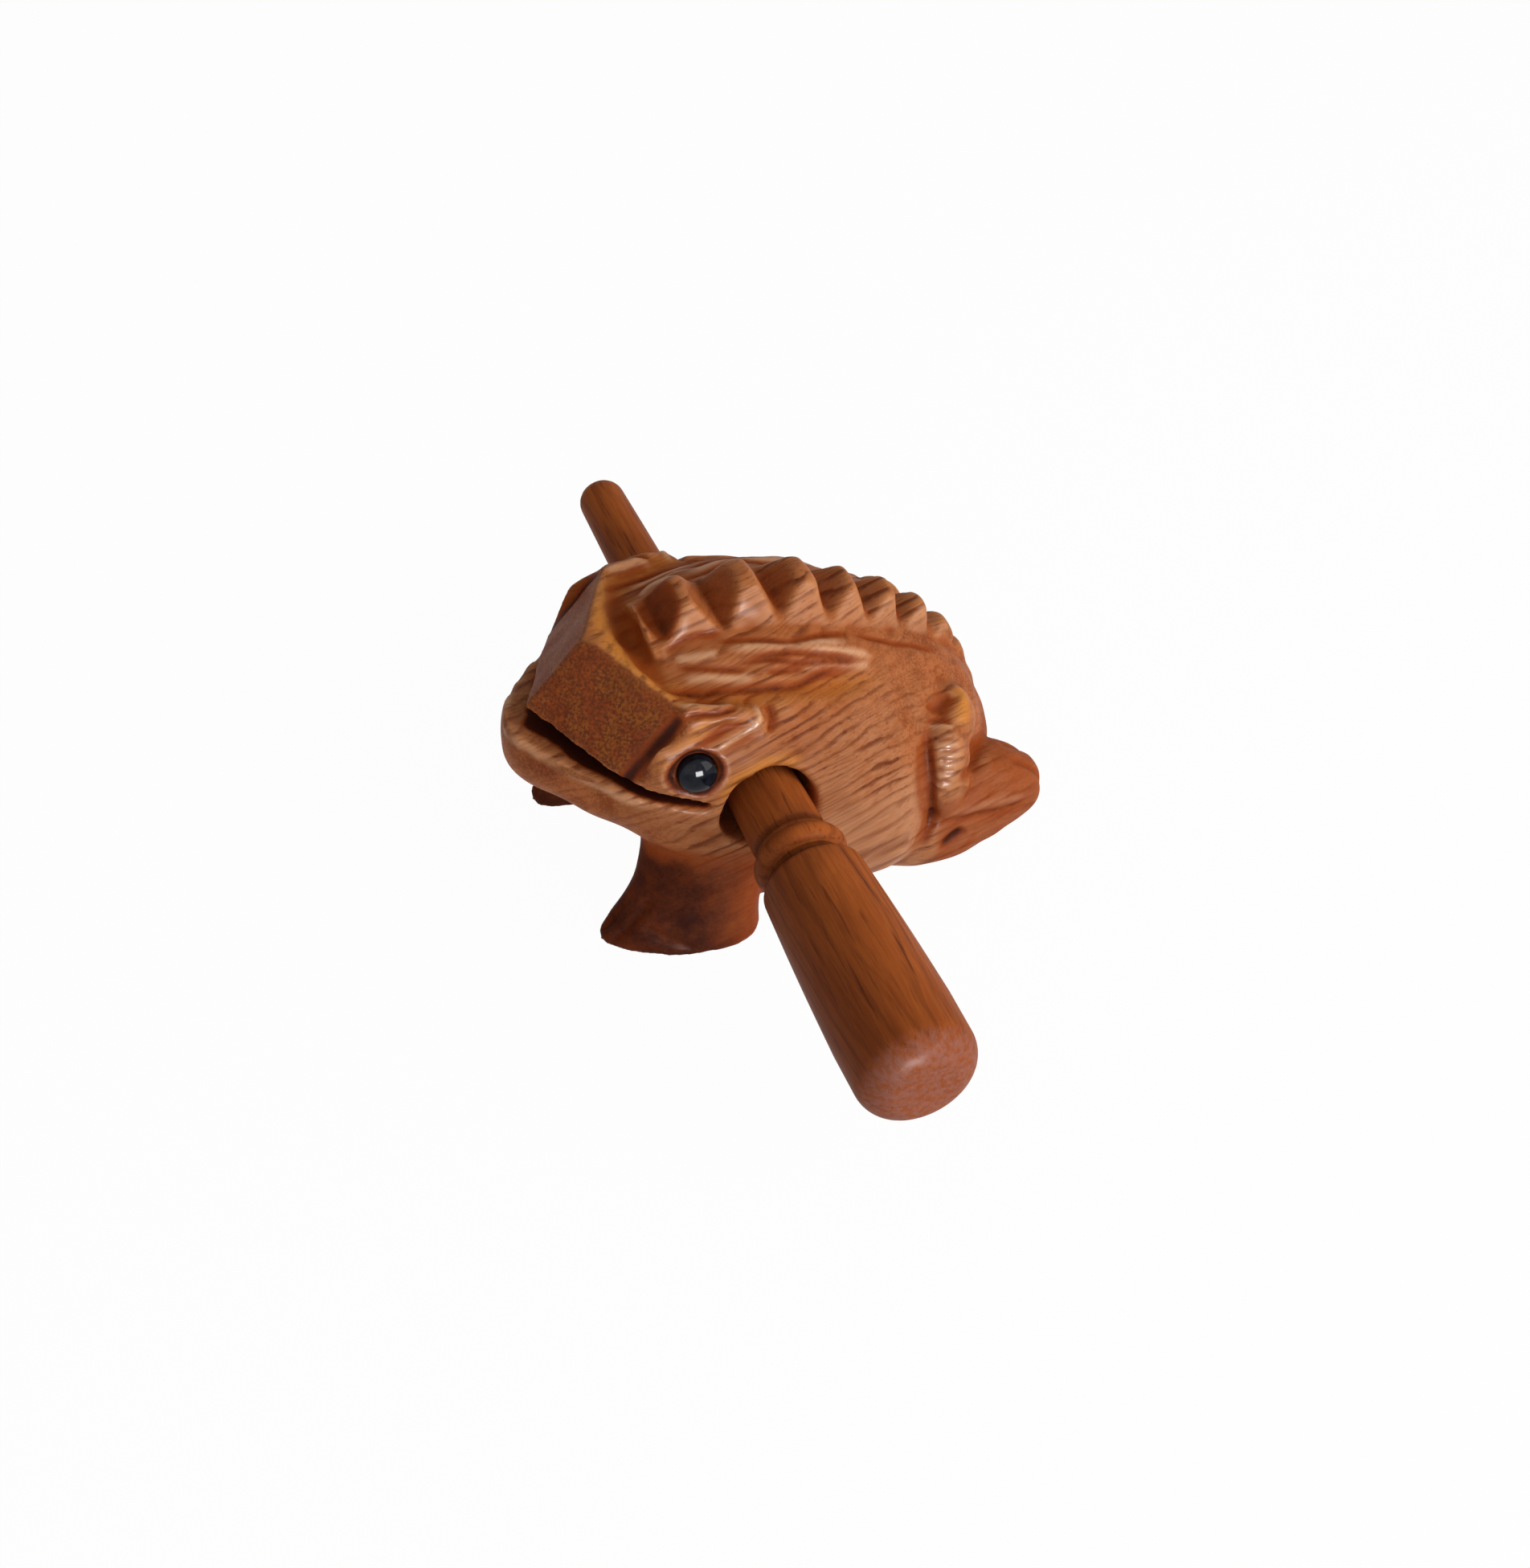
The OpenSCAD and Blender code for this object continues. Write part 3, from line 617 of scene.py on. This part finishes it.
def wood(paint, turn, heart, light, mid):
    """The wood's colour without lines, its rings, pores and fibres, and the coordinates they lie on.

    Turn lays the grain along Y, and heart is the place of the tree's heart in mm.
    """
    place = paint.node("ShaderNodeTexCoord", output="Object")
    lie = paint.node("ShaderNodeMapping", None, {"Vector": place, "Rotation": turn})
    bend = lie.noise((45, 9, 45), detail=2)
    ripple = lie.noise((330, 40, 330), detail=4, roughness=0.6)
    x = paint.node("ShaderNodeSeparateXYZ", None, {0: lie}, "X") - heart[0] * MM
    z = paint.node("ShaderNodeSeparateXYZ", None, {0: lie}, "Z") - heart[1] * MM
    from_heart = paint.math("SQRT", x * x + z * z) + bend * (14 * MM) + ripple * (2.4 * MM)
    ring = paint.math("FRACT", from_heart / RING_SPACING)
    broken = lie.noise((260, 50, 260), detail=2).step(0.38, 0.58)
    line = ring.step(0.42, 0.8) * (1 - ring.step(0.84, 1.0)) * (0.2 + 0.8 * broken)
    fine = paint.math("FRACT", from_heart / FINE_SPACING).step(0.4, 0.9) * (1 - broken)
    pore = lie.noise((1500, 75, 1500), detail=2, roughness=0.6).step(0.57, 0.7)
    fibre = lie.noise((3200, 160, 3200), detail=3, roughness=0.65)
    patch = lie.noise((60, 26, 60), detail=3).step(0.38, 0.66)
    streak = lie.noise((800, 50, 800), detail=3, roughness=0.6).step(0.44, 0.62)
    colour = (0.6 * patch + 0.4 * streak).mix(light, mid)
    colour = (fibre.step(0.42, 0.72) * 0.5).mix(colour, mid)
    return colour, line + 0.35 * fine, pore, fibre, place


# %% The lacquer
def lacquer(paint, shader, colour, roughness, relief, height, coat):
    """Puts the colour on the shader under a satin lacquer, with a little relief."""
    bump = paint.node("ShaderNodeBump", None, {"Strength": 0.7, "Distance": height, "Height": relief})
    paint.feed(shader.inputs["Base Color"], colour)
    paint.feed(shader.inputs["Roughness"], roughness)
    paint.feed(shader.inputs["Normal"], bump)
    paint.feed(shader.inputs["Coat Weight"], coat)
    shader.inputs["Coat Roughness"].default_value = 0.28
    shader.inputs["Specular IOR Level"].default_value = 0.03


# %% [markdown]
# ### The frog's colours
# Where the knife cut across the grain, the wood is mottled instead of lined, and the sawn snout is speckled.
# Over the plain wood come, in this order, the warm back, the worn edges, golden places, painted highlights,
# the lines of the grain, and the stain together with the painted shade, which is amber where it is thin and
# nearly black where it is thick.

# %% Lay the frog's plain wood
FROG_LIGHT = (0.40, 0.166, 0.074, 1)
FROG_MID = (0.30, 0.083, 0.021, 1)
CUT_LIGHT = (0.43, 0.128, 0.041, 1)
CUT_DARK = (0.22, 0.048, 0.010, 1)
SNOUT_RED = (0.27, 0.047, 0.007, 1)
SNOUT_GOLD = (0.33, 0.095, 0.014, 1)
SNOUT_DARK = (0.10, 0.020, 0.005, 1)

finish, shader, paint = new_finish("frog_wood")
colour, rings, pores, fibre, place = wood(paint, (-0.21, 0, 0), (75, -35), FROG_LIGHT, FROG_MID)
speckle = place.noise((2000, 1600, 2000), detail=3, roughness=0.6)
blotch = place.noise((190, 190, 190), detail=4, roughness=0.6)
end_wood = speckle.step(0.36, 0.66).mix(SNOUT_DARK, blotch.step(0.4, 0.62).mix(SNOUT_RED, SNOUT_GOLD))
cut_wood = (0.5 * speckle + 0.5 * blotch).step(0.4, 0.58).mix(CUT_DARK, CUT_LIGHT)
colour = (paint.mark("cut_end") * 0.8).mix(colour, cut_wood)
colour = (paint.mark("snout") * 0.92).mix(colour, end_wood)
print("plain wood has", len(finish.node_tree.nodes), "nodes")

# %% Wear and stain the frog, and paint its light and shade
BACK = (0.39, 0.110, 0.030, 1)
WORN = (0.55, 0.220, 0.078, 1)
GOLD = (0.58, 0.215, 0.034, 1)
PAINTED_HIGHLIGHT = (0.64, 0.350, 0.190, 1)
FROG_LINE = (0.14, 0.030, 0.008, 1)
AMBER = (0.25, 0.041, 0.004, 1)
STAIN_AND_SHADE_BLACK = (0.034, 0.005, 0.002, 1)

fibre_patches = 0.4 + 0.8 * fibre
colour = (paint.mark("back") * fibre_patches * 0.8).mix(colour, BACK)
# Worn edges and gold are the wood's own; the pale pink is painted highlight.
for mark, tone in (("wear", WORN), ("gold", GOLD), ("painted_highlight", PAINTED_HIGHLIGHT)):
    colour = (paint.mark(mark) * fibre_patches).mix(colour, tone)
along_grain = (1 - 0.7 * paint.mark("cut_end")) * (1 - 0.8 * paint.mark("painted_highlight")) * (1 - paint.mark("snout"))
colour = (along_grain * (0.9 * rings + 0.4 * pores)).mix(colour, FROG_LINE)
# The stain and the painted shade: amber where thin, nearly black where thick.
darkening = paint.mark("stain_and_shade") * (0.5 + 0.25 * speckle + 0.75 * blotch)
colour = (darkening.step(0.05, 0.5) * 0.8).mix(colour, AMBER)
colour = (darkening.step(0.42, 0.95) * 0.95).mix(colour, STAIN_AND_SHADE_BLACK)
roughness = 0.42 + 0.2 * fibre + 0.2 * darkening + 0.15 * paint.mark("snout")
relief = 0.5 * fibre - 0.6 * along_grain * (rings + pores) + paint.mark("snout") * speckle
coat = 0.02 + 0.2 * paint.mark("wear") + 0.25 * paint.mark("painted_highlight") + 0.1 * paint.mark("snout")
lacquer(paint, shader, colour, roughness, relief, 0.12 * MM, coat)
frog.data.materials.append(finish)
print("frog_wood has", len(finish.node_tree.nodes), "nodes")

# %% [markdown]
# ## The striker
# The striker is turned on a lathe from one stick: a tapered rod, a bead between two grooves, and a handle.
# A lathe is what the spin operator does, so half the outline is drawn as a chain of edges and spun about the
# axis of the slide joint. Both ends of the axis are read off the CAD node.

# %% Find the striker's axis
stick = np.array([v.co for v in frame["nodes"]["striker"].data.vertices])
axis = Vector(next(j["axis"] for j in frame["joints"] if j["name"] == "striker_slide")).normalized()
along = stick @ np.array(axis)
tip_ring = stick[along < along.min() + 0.01 * MM]
tip = Vector((tip_ring.min(0) + tip_ring.max(0)) / 2)
length = float(np.ptp(along))
print("striker is", round(length / MM, 1), "mm long from", [round(v / MM, 2) for v in tip])

# %% Draw the outline
HANDLE, GROOVE, BEAD = 49.0, 2.2, 5.0
TIP_ROUND, SHOULDER_ROUND, END_ROUND = 3.6, 1.5, 6.0
TIP_RADIUS, ROD_RADIUS, GROOVE_RADIUS, BEAD_RADIUS, HANDLE_RADIUS = 4.5, 6.9, 7.2, 8.7, 11.1
stick_end = length / MM
shoulder = stick_end - HANDLE
bead = shoulder - GROOVE - BEAD
neck = bead - GROOVE
thickest = shoulder + 0.7 * HANDLE


def arc(centre, radius, start, end, steps=8):
    """Points on an arc, from one angle in degrees to another."""
    turns = np.radians(np.linspace(start, end, steps))
    return [(centre[0] + radius * np.cos(a), centre[1] + radius * np.sin(a)) for a in turns]


def swell(start, end, r_start, r_end, steps, bulge=0.0):
    """A stretch of outline that bulges a little between its ends."""
    shares = np.linspace(0, 1, steps + 1)[1:]
    radii = r_start + (r_end - r_start) * shares + bulge * np.sin(np.pi * shares)
    return list(zip(start + (end - start) * shares, radii))


outline = [
    (0.0, 0.0),
    *arc((TIP_ROUND, TIP_RADIUS - TIP_ROUND), TIP_ROUND, 180, 90),
    *swell(TIP_ROUND, neck - 1, TIP_RADIUS, ROD_RADIUS, 40),
    (neck - 0.4, 6.86), (neck, 6.65), (neck + 1.1, 6.9), (bead, GROOVE_RADIUS),
    *arc((bead + BEAD / 2, BEAD_RADIUS - BEAD / 2), BEAD / 2, 165, 15, 12),
    (bead + BEAD, GROOVE_RADIUS), (bead + BEAD + 0.9, 7.0), (shoulder - 0.4, GROOVE_RADIUS),
    *arc((shoulder + SHOULDER_ROUND, 8), SHOULDER_ROUND, 190, 96, 7),
    *swell(shoulder + 1.4, thickest, 9.5, HANDLE_RADIUS, 16, 0.15),
    *swell(thickest, stick_end - END_ROUND, HANDLE_RADIUS, 11.07, 5),
    *arc((stick_end - END_ROUND, 5.07), END_ROUND, 84, 0, 12),
    (stick_end, 0.0),
]
print("outline of the striker has", len(outline), "points")


# %% Turn the striker
def turned(profile, steps, start, way):
    """A bmesh spun from an outline of distances and radii in mm, laid along a line in space."""
    lathe = bmesh.new()
    chain = [lathe.verts.new((s * MM, 0, r * MM)) for s, r in profile]
    geom = [*chain, *(lathe.edges.new(pair) for pair in zip(chain, chain[1:]))]
    about = {"cent": (0, 0, 0), "axis": (1, 0, 0), "angle": 2 * np.pi}
    bmesh.ops.spin(lathe, geom=geom, steps=steps, use_merge=True, **about)
    bmesh.ops.remove_doubles(lathe, verts=lathe.verts, dist=1e-6)
    bmesh.ops.recalc_face_normals(lathe, faces=lathe.faces)
    lay = Matrix.Translation(start) @ way.to_track_quat("X", "Z").to_matrix().to_4x4()
    bmesh.ops.transform(lathe, matrix=lay, verts=lathe.verts)
    return lathe


def hump(values, centre, width):
    """1 at the centre, falling off on both sides."""
    return np.exp(-(((values - centre) / width) ** 2))


lathe = turned(outline, 96, tip, axis)
reach = np.array([(v.co - tip).dot(axis) / MM for v in lathe.verts])
striker = finished_piece("turned_striker", lathe, "striker", ["striker"])
groove_dark = hump(reach, neck + 0.6, 1.1) + hump(reach, shoulder - 0.9, 1.2)
keep_mark(striker, "stain_and_shade", np.clip(groove_dark, 0, 1))
keep_mark(striker, "cut_end", ramp(reach, stick_end - END_ROUND, stick_end - 2))

# %% [markdown]
# The striker is darker than the frog. Painted shade darkens the side of the stick that points forward, away
# from the lamps. Its grooves are darker, and its round end shows the pale, speckled end of the grain.

# %% Paint the striker
STICK_LIGHT = (0.39, 0.098, 0.019, 1)
STICK_MID = (0.25, 0.056, 0.011, 1)
STICK_DARK = (0.075, 0.015, 0.005, 1)
STICK_END = (0.26, 0.102, 0.075, 1)

finish, shader, paint = new_finish("striker_wood")
colour, rings, pores, fibre, place = wood(paint, (0, 0, np.pi / 2), (9, 52), STICK_LIGHT, STICK_MID)
colour = (0.4 * rings + 0.5 * pores).mix(colour, STICK_DARK)
speckle = place.noise((700, 900, 900), detail=3, roughness=0.6)
end_wood = speckle.step(0.35, 0.7).mix(STICK_END, STICK_MID)
backward = paint.node("ShaderNodeSeparateXYZ", None, {0: place}, "Y")
# Painted shade: the side of the stick that points forward, away from the lamps, is darkened.
colour = (0.6 * (1 - backward.step(-20 * MM, -7 * MM))).mix(colour, STICK_DARK)
colour = (paint.mark("cut_end").step(0.1, 0.9) * 0.75).mix(colour, end_wood)
colour = (paint.mark("stain_and_shade") * 0.8).mix(colour, STAIN_AND_SHADE_BLACK)
relief = 0.6 * fibre - 0.5 * (rings + pores)
lacquer(paint, shader, colour, 0.42 + 0.2 * fibre, relief, 0.10 * MM, 0.05)
striker.data.materials.append(finish)
print("striker_wood has", len(finish.node_tree.nodes), "nodes")

# %% [markdown]
# ## The eyes
# Each eye is a black bead, a round plug with a polished dome. It is turned as well, round the axis of its
# socket. A faint cloud in the black keeps it from looking like a hole.

# %% Mix the black of the beads
BLACK = (0.004, 0.005, 0.008, 1)
BLUE_BLACK = (0.010, 0.011, 0.018, 1)
finish, shader, paint = new_finish("black_bead")
cloud = paint.node("ShaderNodeTexCoord", output="Object").noise((500, 500, 500), detail=2)
paint.feed(shader.inputs["Base Color"], cloud.step(0.35, 0.7).mix(BLACK, BLUE_BLACK))
paint.feed(shader.inputs["Roughness"], 0.05 + 0.06 * cloud)
shader.inputs["Specular IOR Level"].default_value = 0.12
print("black_bead has", len(finish.node_tree.nodes), "nodes")

# %% Turn the eye beads
EYE_RADIUS, DOME, PLUG, SOCKET = 3.4, 1.2, 4.2, 4.0
EASED_EDGE = 0.12
ball = (EYE_RADIUS**2 + DOME**2) / (2 * DOME)
half_angle = np.degrees(np.arcsin((EYE_RADIUS - EASED_EDGE) / ball))
dome = arc((PLUG + DOME - ball, 0), ball, half_angle, 0, 16)
bead_outline = [(0, 0), (0, EYE_RADIUS), (PLUG - 0.1, EYE_RADIUS), *dome]
for name, side, node in (("left_bead", 1, "left_eye"), ("right_bead", -1, "right_eye")):
    out = Vector(EYE_OUT * (side, 1, 1))
    floor = Vector(EYE * (side, 1, 1)) * MM - out * (SOCKET * MM)
    eye = finished_piece(name, turned(bead_outline, 48, floor, out), "frog", [node])
    eye.data.materials.append(finish)

# %% [markdown]
# ## Table, light and camera
# The frog stands on a white table. The table and the air behind it look white to the camera and in gloss, but
# light the frog no more than a pale room does, which is brighter on the side of its window. A large soft lamp
# behind the frog's left side models the carving, a weak one fills in from the front, and a small one is there
# only for the glint in the eye.

# %% The table
TABLE_SIZE = 3.0
sheet = bmesh.new()
bmesh.ops.create_grid(sheet, x_segments=1, y_segments=1, size=TABLE_SIZE)
mesh = bpy.data.meshes.new("table")
sheet.to_mesh(mesh)
sheet.free()
table = bpy.data.objects.new("table", mesh)
bpy.context.scene.collection.objects.link(table)
print("table is", 2 * TABLE_SIZE, "m wide")

# %% The white of the table
WHITENESS = 0.97
TABLE_WHITE = (0.74, 0.74, 0.76, 1)


def looks_white(paint):
    """1 for rays that show a white surface to the camera, straight or by way of gloss, 0 for others."""
    kinds = ("Is Camera Ray", "Is Glossy Ray", "Is Transmission Ray")
    straight, gloss, through = (paint.node("ShaderNodeLightPath", output=kind) for kind in kinds)
    return paint.math("MINIMUM", straight + gloss + through, 1.0)


finish, shader, paint = new_finish("white_table")
shader.inputs["Base Color"].default_value = TABLE_WHITE
shader.inputs["Roughness"].default_value = 0.8
glow = paint.node("ShaderNodeEmission", None, {"Color": (1, 1, 1, 1), "Strength": 1.0})
lit = Paint(paint.tree, shader.outputs[0])
mixed = paint.node("ShaderNodeMixShader", None, {0: looks_white(paint) * WHITENESS, 1: lit, 2: glow})
paint.feed(finish.node_tree.nodes["Material Output"].inputs["Surface"], mixed)
mesh.materials.append(finish)
print("white_table has", len(finish.node_tree.nodes), "nodes")

# %% The air
ROOM_DARK, ROOM_BRIGHT = 0.10, 0.46
WINDOW_SIDE = (0.75, 0.35, 0.56)
world = bpy.data.worlds.new("pale_room")
world.use_nodes = True
bpy.context.scene.world = world
air = Paint(world.node_tree)
way = air.node("ShaderNodeTexCoord", output="Generated")
dot = {"operation": "DOT_PRODUCT"}
towards = air.node("ShaderNodeVectorMath", dot, {0: way, 1: WINDOW_SIDE}, output="Value")
room = ROOM_DARK + (ROOM_BRIGHT - ROOM_DARK) * towards.step(-1, 1)
background = world.node_tree.nodes["Background"]
background.inputs["Color"].default_value = (1, 1, 1, 1)
air.feed(background.inputs["Strength"], room + (1 - room) * looks_white(air))
print("pale_room has", len(world.node_tree.nodes), "nodes")

# %% The lamps
AIM = Vector((0.01, 0, 0.03))


def soft_lamp(name, place, size, power, tint):
    """A square lamp that points at the frog."""
    light = bpy.data.lights.new(name, "AREA")
    light.size = size
    light.energy = power
    light.color = tint
    lamp = bpy.data.objects.new(name, light)
    lamp.location = place
    lamp.rotation_mode = "QUATERNION"
    lamp.rotation_quaternion = (AIM - lamp.location).to_track_quat("-Z", "Y")
    bpy.context.scene.collection.objects.link(lamp)
    print(name, "has", power, "W")
    return lamp


soft_lamp("key_lamp", (0.43, 0.37, 0.31), 0.45, 3.0, (1.0, 0.97, 0.93))
soft_lamp("fill_lamp", (0.45, -0.35, 0.3), 0.5, 0.5, (1.0, 0.95, 0.9))
glint = soft_lamp("glint_lamp", (0.6, -0.03, 0.06), 0.25, 14.0, (1.0, 1.0, 1.0))
glint.visible_diffuse = False

# %% The camera
VIEW_FROM = Vector((354.2, -145.3, 403.7)) * MM
VIEW_BACK = Vector((0.6418, -0.2658, 0.7193))
view = bpy.data.cameras.new("photo_view")
view.sensor_width = 36.0
view.lens = 66.43
view.clip_start, view.clip_end = 0.01, 20.0
camera = bpy.data.objects.new("photo_view", view)
camera.location = VIEW_FROM
camera.rotation_mode = "QUATERNION"
camera.rotation_quaternion = (-VIEW_BACK).to_track_quat("-Z", "Y")
bpy.context.scene.collection.objects.link(camera)
bpy.context.scene.camera = camera
bpy.context.scene.view_settings.view_transform = "Standard"
print("camera is", round(VIEW_FROM.length, 2), "m from the frog")
